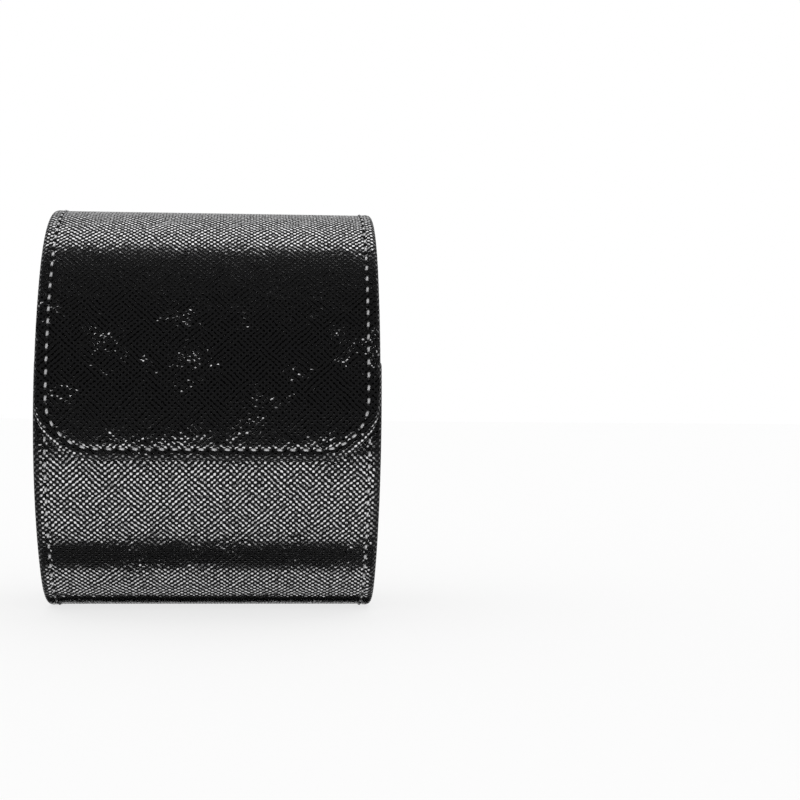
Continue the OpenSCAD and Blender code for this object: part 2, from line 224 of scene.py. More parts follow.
def bridge(rings, around=True):
    """The quads between each ring of point numbers and the next; around closes every ring."""
    size = len(rings[0])
    return [
        (a[i], a[(i + 1) % size], b[(i + 1) % size], b[i])
        for a, b in zip(rings, rings[1:])
        for i in range(size if around else size - 1)
    ]


def tube(rings):
    """The same quads, with the first and the last ring filled in."""
    return bridge(rings) + [tuple(rings[0]), tuple(rings[-1])]


def put(name, data):
    made = bpy.data.objects.new(name, data)
    scene.collection.objects.link(made)
    return made


def make_piece(name, points, faces, material, sheet=None, corner=40):
    mesh = bpy.data.meshes.new(name)
    mesh.from_pydata([tuple(p) for p in points], [], [tuple(int(i) for i in f) for f in faces])
    mesh.validate()
    if sheet is not None:
        flat = np.zeros((len(points), 3), np.float32)
        flat[:, :2] = np.asarray(sheet) * MM
        mesh.attributes.new("sheet_place", "FLOAT_VECTOR", "POINT").data.foreach_set("vector", flat.ravel())
    mesh.shade_smooth()
    mesh.set_sharp_from_angle(angle=radians(corner))
    mesh.materials.append(material)
    tidy = bmesh.new()
    tidy.from_mesh(mesh)
    bmesh.ops.recalc_face_normals(tidy, faces=tidy.faces)
    open_edges = sum(1 for e in tidy.edges if not e.is_manifold)
    tidy.to_mesh(mesh)
    tidy.free()
    print(name, len(mesh.vertices), "points,", open_edges, "open edges")
    return put(name, mesh)


# %% [markdown]
# ## Finishes
# Node trees are long to write by hand, so a short helper makes a node, sets its plain values and
# joins its inputs. A number that is the same everywhere is set on the shader's own socket.

# %% Node helpers
def fill(tree, made, inputs):
    """Joins each input that is given a socket, and sets each one that is given a value."""
    for key, value in inputs.items():
        if isinstance(value, bpy.types.NodeSocket):
            tree.links.new(value, made.inputs[key])
        else:
            made.inputs[key].default_value = value
    return made


def node(tree, kind, inputs=None, **settings):
    made = tree.nodes.new("ShaderNode" + kind)
    for key, value in settings.items():
        setattr(made, key, value)
    return fill(tree, made, inputs or {})


def maths(tree, operation, *values):
    return node(tree, "Math", dict(enumerate(values)), operation=operation).outputs[0]


def times(tree, *values):
    """The product of two values; a third one is added to it."""
    return maths(tree, "MULTIPLY_ADD" if len(values) > 2 else "MULTIPLY", *values)


def span(tree, value, low, high, to_low=0.0, to_high=1.0):
    inputs = {"Value": value, "From Min": low, "From Max": high, "To Min": to_low, "To Max": to_high}
    return node(tree, "MapRange", inputs, interpolation_type="SMOOTHSTEP").outputs[0]


def vector(tree, operation, inputs):
    return node(tree, "VectorMath", inputs, operation=operation).outputs[0]


def noise(tree, place_on, scale, detail=2.0, roughness=0.5, output="Fac"):
    inputs = {"Vector": place_on, "Scale": scale, "Detail": detail, "Roughness": roughness}
    return node(tree, "TexNoise", inputs).outputs[output]


def effect(name, inputs, outputs):
    """An empty node group with named float or vector sockets."""
    group = bpy.data.node_groups.new(name, "ShaderNodeTree")
    for label, kind, value in inputs:
        socket = group.interface.new_socket(label, in_out="INPUT", socket_type="NodeSocket" + kind)
        socket.default_value = value
    for label in outputs:
        group.interface.new_socket(label, in_out="OUTPUT", socket_type="NodeSocketFloat")
    return group, group.nodes.new("NodeGroupInput").outputs, group.nodes.new("NodeGroupOutput").inputs


# %% [markdown]
# The leather carries a pressed cross grain: two families of fine ridges that lean about forty
# degrees either way, a millimetre apart, so that their crossings stand up as small diamonds.
# The press bites unevenly, so where one family is strong the other is weak. Two bent wave patterns
# give the right lattice at the right scale; a plain noise would read as ordinary pebbled hide.
# Dents says how much small dents tilt the crests, which is most in a few patches.

# %% Effect: pressed cross grain
grain, g_in, g_out = effect(
    "pressed_cross_grain",
    [("Place", "Vector", (0, 0, 0)), ("Ridge Pitch", "Float", 0.001), ("Wander", "Float", 0.0009),
     ("Dents", "Float", 4.0)],
    ["Height", "Crests"],
)
LEAN_ACROSS, LEAN_ALONG, WEAK, STRONG, RIDGE_POWER = 0.68, 0.733, 0.62, 1.0, 1.4
place_on = g_in["Place"]
bend = noise(grain, place_on, 260.0, 3.0, 0.6, "Color")
wobble = vector(grain, "SUBTRACT", {0: bend, 1: (0.5, 0.5, 0.5)})
wobble = vector(grain, "SCALE", {0: wobble, "Scale": g_in["Wander"]})
bent = vector(grain, "ADD", {0: place_on, 1: wobble})
split = node(grain, "SeparateXYZ", {0: bent}).outputs
favour = span(grain, noise(grain, place_on, 210.0), 0.36, 0.64)
ridges = []
for side, low, high in ((1, WEAK, STRONG), (-1, STRONG, WEAK)):
    along = times(grain, split["Y"], LEAN_ALONG)
    cross = maths(grain, "ADD", times(grain, split["X"], side * LEAN_ACROSS), along)
    turn = times(grain, maths(grain, "DIVIDE", cross, g_in["Ridge Pitch"]), 2 * pi)
    wave = times(grain, maths(grain, "COSINE", turn), 0.5, 0.5)
    strength = times(grain, favour, high - low, low)
    ridges.append(times(grain, maths(grain, "POWER", wave, RIDGE_POWER), strength))
both = maths(grain, "ADD", *ridges)
worn = span(grain, noise(grain, place_on, 1250.0, 1.0), 0.32, 0.6, 0.25, 1.0)
crests = times(grain, span(grain, both, 0.82, 1.12), worn)
pebble = noise(grain, place_on, 2400.0)
flat_top = times(grain, pebble, 0.12, span(grain, both, 0.45, 1.0))
patches = span(grain, noise(grain, place_on, 85.0, 3.0, 0.65), 0.42, 0.7)
bruise = times(grain, patches, g_in["Dents"], 0.9)
dent = times(grain, noise(grain, place_on, 900.0, 1.0), bruise)
grain.links.new(maths(grain, "ADD", flat_top, dent), g_out["Height"])
grain.links.new(crests, g_out["Crests"])
print("grain group:", len(grain.nodes), "nodes")

# %% [markdown]
# Dust and handling show on every finish of a travel case as faint, soft clouds in the gloss. The
# group gives one slow mask that each material uses in its own way, and a mask of small specks.

# %% Effect: handling marks
handling, h_in, h_out = effect(
    "handling_marks", [("Place", "Vector", (0, 0, 0)), ("Size", "Float", 90.0)], ["Rubbed", "Specks"])
cloud = noise(handling, h_in["Place"], h_in["Size"], 4.0, 0.62)
fine = noise(handling, h_in["Place"], 1500.0, 1.0)
handling.links.new(span(handling, cloud, 0.42, 0.68), h_out["Rubbed"])
handling.links.new(span(handling, fine, 0.66, 0.74), h_out["Specks"])


def spaced(values):
    return {label.replace("_", " "): value for label, value in values.items()}


def finish(name, **plain):
    """A material with one Principled shader, its plain numbers set on the shader's own sockets."""
    material = bpy.data.materials.new(name)
    material.use_nodes = True
    tree = material.node_tree
    return material, tree, fill(tree, tree.nodes["Principled BSDF"], spaced(plain))


def use(tree, group, **inputs):
    return node(tree, "Group", spaced(inputs), node_tree=group).outputs


def mix(tree, factor, low, high):
    return node(tree, "Mix", {0: factor, 6: low, 7: high}, data_type="RGBA").outputs[2]


def bump(tree, height, distance, strength):
    inputs = {"Height": height, "Distance": distance, "Strength": strength}
    return node(tree, "Bump", inputs).outputs[0]


print("handling group:", len(handling.nodes), "nodes")


# %% [markdown]
# ### Grained leather
# Black leather under a hard lacquer. The valleys are matt and nearly black. The crests are pressed
# so smooth that they mirror whatever stands opposite, so the shader makes them bright metal; a
# clear coat over one even black would stay grey all over. The sheet place drives the grain, so
# that it stays square to the leather wherever it bends. Turned edges are duller, and the flap is
# dented where hands open it.

# %% Finish: grained leather
# Places on the flat sheet, in metres: where turned edges start and end, and where hands hold.
SHOULDER_STARTS, SHOULDER_ENDS, LOWER_EDGE = (0.0383, 0.0389), (0.0405, 0.0413), (-0.1002, -0.1008)
GRIPPED, RIM, FADE = -0.059, -0.092, 0.014
DULLED = 0.85


def sheet_place(tree):
    """The place on the flat sheet, in metres: as a vector, across the sheet, and along it."""
    sheet = node(tree, "Attribute", attribute_name="sheet_place").outputs["Vector"]
    return sheet, *node(tree, "SeparateXYZ", {0: sheet}).outputs[:2]


def leather_finish(name, pitch, depth, valley, crest, dents=4.0, gripped=None):
    """With gripped, the dents grow to that down the part of the flap that hands hold."""
    material, tree, shader = finish(name, IOR=1.45, Specular_IOR_Level=0.12)
    sheet, across, run = sheet_place(tree)
    side = maths(tree, "ABSOLUTE", across)
    past = span(tree, side, *SHOULDER_ENDS, 1.0, 0.0)
    turned = times(tree, span(tree, side, *SHOULDER_STARTS), past)
    if gripped:
        turned = maths(tree, "MAXIMUM", turned, span(tree, run, *LOWER_EDGE, 0.0, 0.8))
        held = span(tree, run, GRIPPED, GRIPPED - FADE, dents, gripped)
        dents = times(tree, held, span(tree, run, RIM + FADE, RIM, 1.0, 0.4))
    pressed = use(tree, grain, Place=sheet, Ridge_Pitch=pitch, Wander=pitch * 0.9, Dents=dents)
    rubbed = use(tree, handling, Place=sheet, Size=70.0)["Rubbed"]
    crests = times(tree, pressed["Crests"], times(tree, turned, -DULLED, 1.0))
    rough = span(tree, crests, 0.0, 0.12, 0.7, 0.15)
    fill(tree, shader, {
        "Base Color": mix(tree, crests, valley, crest),
        "Roughness": times(tree, rubbed, 0.05, rough),
        "Metallic": span(tree, crests, 0.0, 0.1),
        "Normal": bump(tree, pressed["Height"], depth, 1.0),
    })
    return material


BLACK, BURNISHED = (0.0085, 0.0085, 0.009, 1), (0.88, 0.88, 0.89, 1)
SOFT_BLACK, SOFT_CREST = (0.007, 0.007, 0.0075, 1), (0.3, 0.3, 0.305, 1)
lacquered_leather = leather_finish("lacquered_leather", 0.001, 0.00005, BLACK, BURNISHED)
handled_leather = leather_finish("handled_leather", 0.001, 0.00005, BLACK, BURNISHED, 2.5, gripped=22.0)
plain_leather = leather_finish("plain_leather", 0.0008, 0.00003, SOFT_BLACK, SOFT_CREST)
print("leathers:", lacquered_leather.name, handled_leather.name, plain_leather.name)


# %% [markdown]
# ### Suede lining
# The lining and the cushion are covered in a short-napped suede. Nap is matt and catches light at
# grazing angles, so the shader has sheen, and two scales of soft noise lighten the places where
# the nap has been brushed the other way.

# %% Finish: suede
def object_place(tree):
    return node(tree, "TexCoord").outputs["Object"]


def suede_finish(name, dark, light):
    material, tree, shader = finish(
        name, Sheen_Weight=0.35, Sheen_Roughness=0.45, Sheen_Tint=(0.5, 0.5, 0.52, 1),
        Specular_IOR_Level=0.2)
    place_on = object_place(tree)
    rubbed = use(tree, handling, Place=place_on, Size=55.0)["Rubbed"]
    nap = noise(tree, place_on, 1900.0, 3.0, 0.6)
    brushed = maths(tree, "ADD", times(tree, rubbed, 0.22), times(tree, nap, 0.78))
    fill(tree, shader, {
        "Base Color": mix(tree, span(tree, brushed, 0.2, 0.8), dark, light),
        "Roughness": times(tree, rubbed, -0.08, 0.95),
        "Normal": bump(tree, nap, 0.00012, 0.8),
    })
    return material


lining_suede = suede_finish("lining_suede", (0.016, 0.016, 0.017, 1), (0.045, 0.045, 0.047, 1))
cushion_suede = suede_finish("cushion_suede", (0.02, 0.02, 0.021, 1), (0.06, 0.06, 0.062, 1))
print("suedes:", lining_suede.name, cushion_suede.name)

# %% [markdown]
# ### Board, nickel and thread
# The boards are pressed grey pulp with darker fibres. The snaps are plated: bright, with fine
# rubbing that changes mostly the roughness. The thread is bonded polyester, black, with a painted
# highlight in pale grey at the crown of each stitch, where it stands highest.

# %% Finishes: greyboard, nickel, thread
pressed_board, tree, shader = finish("pressed_board", Specular_IOR_Level=0.3)
place_on = object_place(tree)
marks = use(tree, handling, Place=place_on, Size=240.0)
pulp = noise(tree, place_on, 900.0, 5.0, 0.7)
tint = mix(tree, span(tree, pulp, 0.35, 0.7), (0.2, 0.18, 0.15, 1), (0.42, 0.39, 0.33, 1))
fill(tree, shader, {
    "Base Color": mix(tree, marks["Specks"], tint, (0.1, 0.085, 0.07, 1)),
    "Roughness": times(tree, marks["Rubbed"], -0.1, 0.92),
    "Normal": bump(tree, pulp, 0.0001, 0.6),
})

plated_metal, tree, shader = finish("plated_metal", Metallic=1.0)
place_on = object_place(tree)
rubbed = use(tree, handling, Place=place_on, Size=400.0)["Rubbed"]
streaks = noise(tree, vector(tree, "MULTIPLY", {0: place_on, 1: (1, 1, 9)}), 900.0)
fill(tree, shader, {
    "Base Color": mix(tree, rubbed, (0.62, 0.61, 0.58, 1), (0.5, 0.49, 0.46, 1)),
    "Roughness": span(tree, maths(tree, "ADD", streaks, rubbed), 0.4, 1.5, 0.28, 0.38),
    "Normal": bump(tree, streaks, 0.000004, 0.4),
})

thread_finish, tree, shader = finish(
    "bonded_thread", Specular_IOR_Level=0.3, Coat_Weight=0.15, Coat_Roughness=0.15)
share = times(tree, sheet_place(tree)[1], 1 / MM)
# Painted highlight: round the middle of each stitch the thread turns pale grey and partly metal.
from_crown = maths(tree, "ABSOLUTE", maths(tree, "SUBTRACT", share, 0.5))
painted_crown_highlight = span(tree, from_crown, 0.09, 0.24, 1.0, 0.0)
twist = noise(tree, object_place(tree), 2600.0)
highlight_strands = times(tree, span(tree, twist, 0.25, 0.6, 0.35, 1.0), painted_crown_highlight)
# Black thread, with the painted highlight's pale grey only at each crown.
fill(tree, shader, {
    "Base Color": mix(tree, highlight_strands, (0.012, 0.012, 0.012, 1), (0.8, 0.8, 0.81, 1)),
    "Metallic": times(tree, highlight_strands, 0.4),
    "Roughness": span(tree, twist, 0.3, 0.7, 0.5, 0.3),
    "Normal": bump(tree, twist, 0.00006, 0.8),
})
print("materials:", sorted(m.name for m in bpy.data.materials))

# %% [markdown]
# ## The wrap's leather
# The wrap is one sheet turned over both sides of its board. Its cross-section is a shallow C: a
# flat face, a rounded shoulder, a side and a turned rim. Sweeping that C along the stations makes
# the whole skin as one closed mesh, with the sewn relief pressed in as it goes. At the lip the
# same C shrinks and rolls over the board's end, then runs down inside for a few millimetres.

# %% Sweeping a turned section
SHOULDER_R, CHAMFER = 1.15, 0.2
TURN = np.radians(np.linspace(15, 90, 6))


def turned_section(half_w, side, shoulder, along, sewn):
    """One C-shaped section as x, depth and running width across the sheet."""
    inset = np.array([shoulder] + [e for e in EDGE_STEPS if e > shoulder] + [18.0, 24.0, 31.0])[::-1]
    relief = sewn_depth(inset, along, shoulder) * sewn
    face, core, down = half_w - inset, half_w - shoulder, max(side, shoulder + 0.02)
    flank, inner = core + shoulder * pi / 2 + down - shoulder, half_w * np.array([0.8, 0.5, 0.2])
    x = [0], face, core + shoulder * np.sin(TURN), half_w - np.array([0, CHAMFER, SKIN, SKIN]), inner
    rim = [max(down - CHAMFER, shoulder + 0.01), down, down, SKIN]
    depth = [DIP * sewn], relief, shoulder * (1 - np.cos(TURN)), rim, [SKIN] * 3
    hidden = [flank - CHAMFER, flank, flank + shoulder, flank + shoulder]
    wide = [0], face, core + shoulder * TURN, hidden, inner
    return tuple(np.concatenate(parts) for parts in (x, depth, wide))


def stations(line, *section):
    return [(p, n, s, *section) for p, n, s in zip(line["point"], line["normal"], line["along"])]


def under(p, n, x, depth):
    """A point in metres, x across and depth under the outer face at p."""
    return (x * MM, (p[0] - n[0] * depth) * MM, (p[1] - n[1] * depth) * MM)


def sweep(name, rows, material):
    """Rows are (point, normal, along, half width, side depth, shoulder, sewn)."""
    points, flat, rings = [], [], []
    for p, n, along, half_w, side, shoulder, sewn in rows:
        x, depth, wide = turned_section(half_w, side, shoulder, along, sewn)
        order = [(1, i) for i in range(len(x))] + [(-1, i) for i in range(len(x) - 1, 0, -1)]
        add_ring(points, rings, [under(p, n, sign * x[i], depth[i]) for sign, i in order])
        flat += [(sign * wide[i], along) for sign, i in order]
    return make_piece(name, points, tube(rings), material, flat)


print("turned shoulders:", SHOULDER_R, "mm")

# %% The wrap's leather
nose_r = WALL / 2
nose_c = tuple(np.array(FRONT_C) + (SIDE_R - nose_r) * heading(LIP))
nose_line = walk([(nose_c, nose_r, LIP, LIP - 180)], 0.4, wrap_line["length"])
turned_in = LIP + degrees(LIP_RETURN / SIDE_R)
return_line = walk([(FRONT_C, -(SIDE_R - WALL), LIP, turned_in)], 0.6, nose_line["along"][-1])
wrap_rows = stations(wrap_line, CASE_W / 2, WALL, SHOULDER_R, True)
wrap_rows += stations(nose_line, CASE_W / 2, nose_r - 0.02, SHOULDER_R, False)
wrap_rows += stations(return_line, CASE_W / 2 - 1.2, SKIN + 0.02, 0.9, False)
wrap_skin = sweep("wrap_skin", wrap_rows, lacquered_leather)
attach(wrap_skin, "case")
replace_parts(wrap_skin, "body_leather")

# %% [markdown]
# ## The fold
# Between the two boards there is only leather and lining, and this strip bends when the flap
# opens. It is swept like the wrap, narrowing slightly to the flap's width.

# %% The fold's leather
def fold_half(run):
    """Half the fold's width, which eases from the wrap's to the flap's."""
    share = np.clip(run / fold_len, 0, 1)
    return CASE_W / 2 + (FLAP_W - CASE_W) / 2 * share * share * (3 - 2 * share)


fold_rows = [(p, n, -s, fold_half(s), FOLD_DEPTH, SHOULDER_R, True) for p, n, s in stations(fold_line)]
fold_skin = sweep("fold_skin", fold_rows, lacquered_leather)
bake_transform(fold_skin)
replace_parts(fold_skin, "hinge_leather")

# %% [markdown]
# ## The flap's leather
# The flap is a shallow tray: a face with two round lower corners and an edge that is turned in all
# round. A plain grid can't turn a round corner neatly, so the face is made of a middle block, two
# side strips and two quarter fans that share their edge spacing. The sewn groove then follows the
# outline exactly.


# %% A flat sheet with two round corners
def cornered_sheet(half_w, length, corner, edge, extra=(), step=0.5, fan_steps=44):
    """Points (x, down, inset, run) and quads; the outline, walked down one side, round and up."""
    between = sorted(set(EDGE_STEPS) | set(extra))
    inset = np.array([edge] + [e for e in between if edge + 0.1 < e < corner - 0.3] + [corner])
    rho = corner - inset[::-1]
    rho[0] = 0.0
    straight, inner, reach = length - corner, half_w - corner, corner - ROW_IN
    rows = np.linspace(0, straight, round(straight / step) + 1)
    columns = np.linspace(-inner, inner, round(2 * inner / step) + 1)
    fan = [(t, cos(t), sin(t)) for t in np.linspace(0, pi / 2, fan_steps + 1)]
    table, points, quads = {}, [], []

    def key(x, down):
        return round(x, 4), round(down, 4)

    def spot(x, down, e, run):
        if key(x, down) not in table:
            table[key(x, down)] = len(points)
            points.append((x, down, e, run))
        return table[key(x, down)]

    def patch(grid):
        for a, b in zip(grid, grid[1:]):
            for i in range(len(a) - 1):
                face = tuple(dict.fromkeys((a[i], a[i + 1], b[i + 1], b[i])))
                if len(face) > 2:
                    quads.append(face)

    middle_run = straight + reach * pi / 2 + inner
    patch([[spot(x, d, corner, d) for x in columns] for d in rows])
    patch([[spot(x, straight + r, corner - r, middle_run - abs(x)) for x in columns] for r in rho])
    for sign in (1, -1):
        patch([[spot(sign * (inner + r), d, corner - r, d) for r in rho] for d in rows])
        patch([
            [spot(sign * (inner + r * c), straight + r * s, corner - r, straight + t * reach) for r in rho]
            for t, c, s in fan])
    rim = rho[-1]
    left = [(-(inner + rim), d, (-1.0, 0.0)) for d in rows]
    left += [(-(inner + rim * c), straight + rim * s, (-c, s)) for _, c, s in fan[1:]]
    bottom = [(x, straight + rim, (0.0, 1.0)) for x in columns[1:-1]]
    right = [(-x, d, (-o[0], o[1])) for x, d, o in left[::-1]]
    return np.array(points), quads, [(table[key(x, d)], out) for x, d, out in left + bottom + right]


print("round corners:", FLAP_CORNER, "mm")

# %% The flap's leather
def tray(name, line, half_w, length, corner, depths, levels, material, edge, relief, fit=None, extra=()):
    """A face and a back at these depths; levels are (push outwards, depth, push on the sheet)."""
    flat, quads, outline = cornered_sheet(half_w, length, corner, edge, extra)
    x, down, inset, run = flat.T
    if fit:
        x, down = fit(x, down)
    top, (face_depth, back_depth) = line["along"][0], depths
    points = [place(line, x, top + down, face_depth + relief(inset, run + top, x, down))]
    sheet = [np.stack([x, -(top + down)], axis=1)]
    count, ring = len(x), [i for i, _ in outline]
    where, out = flat[ring, :2], np.array([o for _, o in outline])
    rings = [ring]
    for push, depth, wide in levels:
        x2, down2 = (where + out * push).T
        points.append(place(line, x2, top + down2, depth))
        sheet.append((where + out * wide + (0, top)) * (1, -1))
        rings.append(range(count, count + len(ring)))
        count += len(ring)
    points.append(place(line, x, top + down, back_depth))
    sheet.append(sheet[0])
    rings.append([count + i for i in ring])
    faces = quads + bridge(rings, around=False) + [tuple(count + i for i in q[::-1]) for q in quads]
    level = [i for i in np.argsort(x, kind="stable") if down[i] < 1e-6]
    left, right = [r[0] for r in rings[1:-1]], [r[-1] for r in rings[1:-1]]
    faces.append(tuple(level) + tuple(right) + tuple(count + i for i in level[::-1]) + tuple(left[::-1]))
    return make_piece(name, np.concatenate(points), faces, material, np.concatenate(sheet))


rim = [(SHOULDER_R, FLAP_T - 0.25), (SHOULDER_R - CHAMFER, FLAP_T), (SHOULDER_R - SKIN, FLAP_T)]
skin_levels = [(SHOULDER_R * sin(a), SHOULDER_R - SHOULDER_R * cos(a), SHOULDER_R * a) for a in TURN]
skin_levels += [(push, depth, FLAP_T) for push, depth in rim + [(SHOULDER_R - SKIN, SKIN)]]
flap_skin = tray(
    "flap_skin", flap_line, FLAP_W / 2, flap_len, FLAP_CORNER, (0.0, SKIN), skin_levels,
    handled_leather, SHOULDER_R, relief=lambda inset, run, x, down: sewn_depth(inset, run, SHOULDER_R))
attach(flap_skin, "flap")
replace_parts(flap_skin, "flap_leather")

# %% [markdown]
# ## Thread
# Real thread lies on the leather between two holes and dives into each of them. Every stitch is a
# short bent tube, so it catches light and casts its own small shadow. Each stitch leans a little
# across its row, as a machine's lockstitch does. How far along its stitch each point is goes into
# the sheet place, where the thread's finish reads it to paint a highlight at each crown.


# %% Sewing a row
# Share of the stitch, depth under the leather's face, and thickness as a share of the thread's.
SHARE, DEEP, THICK = np.array([
    (0.1, 0.6, 0.5), (0.14, 0.3, 1.0), (0.25, 0.07, 1.0), (0.5, 0.0, 1.05),
    (0.75, 0.07, 1.0), (0.86, 0.3, 1.0), (0.9, 0.6, 0.5)]).T
THREAD_R, FLATTENED, LEAN, SIDES = 0.27, 0.8, 0.25, 6


def sew(name, rows, body=None):
    """Rows are (at, first, count); at(run, depth) gives points on the leather, in metres."""
    points, faces, flat = [], [], []
    around = np.linspace(0, 2 * np.pi, SIDES + 1)[:-1]
    for at, first, count in rows:
        for k in range(count):
            runs = first + PITCH * (k + SHARE)
            core = at(runs, DEEP)
            up = unit(at(runs, DEEP - 0.1) - core)
            side = unit(np.cross(np.gradient(at(runs, 0 * runs), axis=0), up))
            core = core + side * (LEAN * MM * (SHARE - 0.5))[:, None]
            rings = []
            for c, s, u, r in zip(core, side, up, THICK * THREAD_R * MM):
                add_ring(points, rings, [c + r * (cos(a) * s + FLATTENED * sin(a) * u) for a in around])
            faces += tube(rings)
            flat += [(share, run) for share, run in zip(SHARE, runs) for _ in around]
    piece = make_piece(name, points, faces, thread_finish, flat, corner=80)
    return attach(piece, body) if body else piece


def wrap_row(sign):
    return lambda run, depth: place(wrap_line, np.full(len(run), sign * (CASE_W / 2 - ROW_IN)), run, depth)


wrap_count = int((wrap_line["length"] - 1.0) / PITCH)
sew("wrap_thread", [(wrap_row(s), 0.0, wrap_count) for s in (1, -1)], "case")

# %% [markdown]
# The rows run on over the fold and round the whole edge of the flap. The stitches on the flap ride
# on the flap.

# %% The rows on the fold and the flap
FOLD_STITCHES = 3
over = {key: np.concatenate([fold_line[key][:-1], flap_line[key]]) for key in ("point", "normal", "along")}


def fold_row(sign):
    return lambda run, depth: place(over, sign * (fold_half(run) - ROW_IN), run, depth)


def flap_row(sign, inside=False):
    def at(run, depth):
        p = run - fold_len
        t = np.clip((p - flap_straight) / corner_reach, 0, pi / 2)
        rest = np.clip(p - flap_straight - corner_reach * pi / 2, 0, None)
        x = flap_inner + corner_reach * np.cos(t) - rest
        down = np.clip(p, None, flap_straight) + corner_reach * np.sin(t)
        return place(flap_line, sign * x, fold_len + down, FLAP_T - depth if inside else depth)

    return at


fold_thread = sew("fold_thread", [(fold_row(s), 0.0, FOLD_STITCHES) for s in (1, -1)])
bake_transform(fold_thread)
first, count = FOLD_STITCHES * PITCH, round(half_run / PITCH) - FOLD_STITCHES
sew("flap_thread", [(flap_row(s), first, count) for s in (1, -1)], "flap")
sew("flap_back_thread", [(flap_row(s, True), first, count) for s in (1, -1)], "flap")
print("stitches:", 2 * (wrap_count + FOLD_STITCHES + 2 * count))

# %% [markdown]
# ## Side panels
# Each side of the case is closed by a board covered in leather. Its outline follows the inside of
# the wrap, and where the case is open it reaches out to just under the flap. The panel is made of
# rings that run round that outline: a gently crowned face, a rolled edge, and a turned-in rim.


# %% A closed outline in the case's side view
def closed_outline(arcs, step=0.6, passes=14, fine=0.2):
    """Even points round the arcs, closed and with softened corners, and the way out at each."""
    loop = walk(arcs, fine)["point"]
    gap = loop[0] - loop[-1]
    shares = np.linspace(0, 1, round(np.linalg.norm(gap) / fine) + 1)[1:-1, None]
    loop = np.concatenate([loop, loop[-1] + shares * gap])
    for _ in range(passes):
        loop = (np.roll(loop, 1, 0) + 2 * loop + np.roll(loop, -1, 0)) / 4
    closed = np.concatenate([loop, loop[:1]])
    gone = run_lengths(closed)
    loop = read_off(np.linspace(0, gone[-1], round(gone[-1] / step) + 1)[:-1], gone, closed)
    along = np.roll(loop, -1, 0) - np.roll(loop, 1, 0)
    out = unit(np.stack([-along[:, 1], along[:, 0]], axis=1))
    return loop, out if (out * (loop - loop.mean(0))).sum() > 0 else -out


past_lip = LIP - degrees((WALL / 2 + FLAP_GAP) / SIDE_R) - 360.6
cheek_arcs = wrap_arcs(WALL + 0.1, past_lip) + [
    (FRONT_C, SIDE_R, past_lip, FLAP_SHOULDER - 360),
    (FLAP_TOP_C, FLAP_TOP_R - STAND_OFF, FLAP_SHOULDER, HINGE + 1.2),
    (TOP_C, TOP_R - FOLD_DEPTH - FLAP_GAP, HINGE + 0.4, BODY_END + 1.5),
]
cheek_loop, cheek_out = closed_outline(cheek_arcs)
print("side panel outline:", len(cheek_loop), "points")


# %% [markdown]
# The same ring builder makes the leather and the lining of both panels; only the rings differ.


# %% Side panels: leather and lining
MIDDLE, NEAR = np.array([2.0, 50.0]), 0.04
FACE_X, BACK_X, ROLL, CROWN, GLUED_X, SOFT_X = 39.6, 35.6, 1.0, 0.22, 36.38, 35.6


def ring_panel(name, sign, rings, material):
    """Rings are (inset, share of the way out from the middle, place across the case)."""
    points, flat, loops = [], [], []
    for inset, share, x in rings:
        ring = MIDDLE + (cheek_loop - cheek_out * inset - MIDDLE) * share
        add_ring(points, loops, [(sign * x * MM, y * MM, z * MM) for y, z in ring])
        flat += [(y + (CASE_W / 2 - x if inset < 0.5 else 0), z) for y, z in ring]
    return make_piece(name, points, tube(loops), material, flat)


crowned = [(ROLL, f, FACE_X + CROWN * (1 - f * f)) for f in (NEAR, 0.2, 0.4, 0.6, 0.75, 0.86, 0.93, 0.97)]
quarter = np.radians(np.linspace(0, 90, 8))
rolled = [(ROLL - ROLL * sin(a), 1.0, FACE_X - ROLL + ROLL * cos(a)) for a in quarter]
rim = [
    (0.0, 1.0, BACK_X + 0.2), (0.18, 1.0, BACK_X), (ROLL, 1.0, BACK_X),
    (ROLL, 1.0, FACE_X - SKIN), (ROLL, NEAR, FACE_X - SKIN)]
soft = [
    (1.1, NEAR, GLUED_X), (1.1, 0.98, GLUED_X), (1.1, 1.0, GLUED_X - 0.08), (1.1, 1.0, SOFT_X + 0.15),
    (1.25, 1.0, SOFT_X + 0.02), (1.7, 1.0, SOFT_X), (1.7, 0.5, SOFT_X), (1.7, NEAR, SOFT_X)]
for label, sign in (("left", -1), ("right", 1)):
    leather = ring_panel(label + "_panel_skin", sign, crowned + rolled + rim, lacquered_leather)
    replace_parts(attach(leather, "case"), label + "_cheek_leather")
    lining = ring_panel(label + "_panel_lining", sign, soft, lining_suede)
    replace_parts(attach(lining, "case"), label + "_cheek_lining")

# %% [markdown]
# ## Linings
# The linings are soft sheets glued to the boards. In the wrap and the fold they are swept strips
# with rounded edges. In the flap the lining is the flap's own outline, drawn in, with a finer grid
# where it is pressed down round each snap. The row of stitches shows on its inside too.


# %% Linings of the wrap and the fold
SOFT_R = 0.4


def lining_strip(name, line, half_w, back, face, last=inf, cover=None):
    """A soft strip between two depths; with cover, its start is turned down over the board's end."""
    points, rings = [], []
    arc = np.radians(np.linspace(0, 90, 5))
    edge = [(half_w - SOFT_R + SOFT_R * sin(a), face - SOFT_R + SOFT_R * cos(a)) for a in arc]
    half = [(half_w * f, face) for f in (0, 0.3, 0.6, 0.85, 0.95)] + edge

    def ring(p, n, glued):
        row = half + [(half_w, glued + 0.02), (half_w - SOFT_R, glued), (half_w * 0.5, glued)]
        row += [(-x, d) for x, d in row[::-1][:-1]]
        add_ring(points, rings, [under(p, n, x, d) for x, d in row])

    spots = [(p, n) for p, n, s in stations(line) if s <= last][::2]
    if cover is not None:
        start, normal = spots[0]
        ahead = (spots[1][0] - start) / np.linalg.norm(spots[1][0] - start)
        ring(start - 0.25 * ahead, normal, cover)
        ring(start - 0.01 * ahead, normal, cover)
    for p, n in spots:
        ring(p, n, back)
    piece = make_piece(name, points, tube(rings), lining_suede)
    return piece


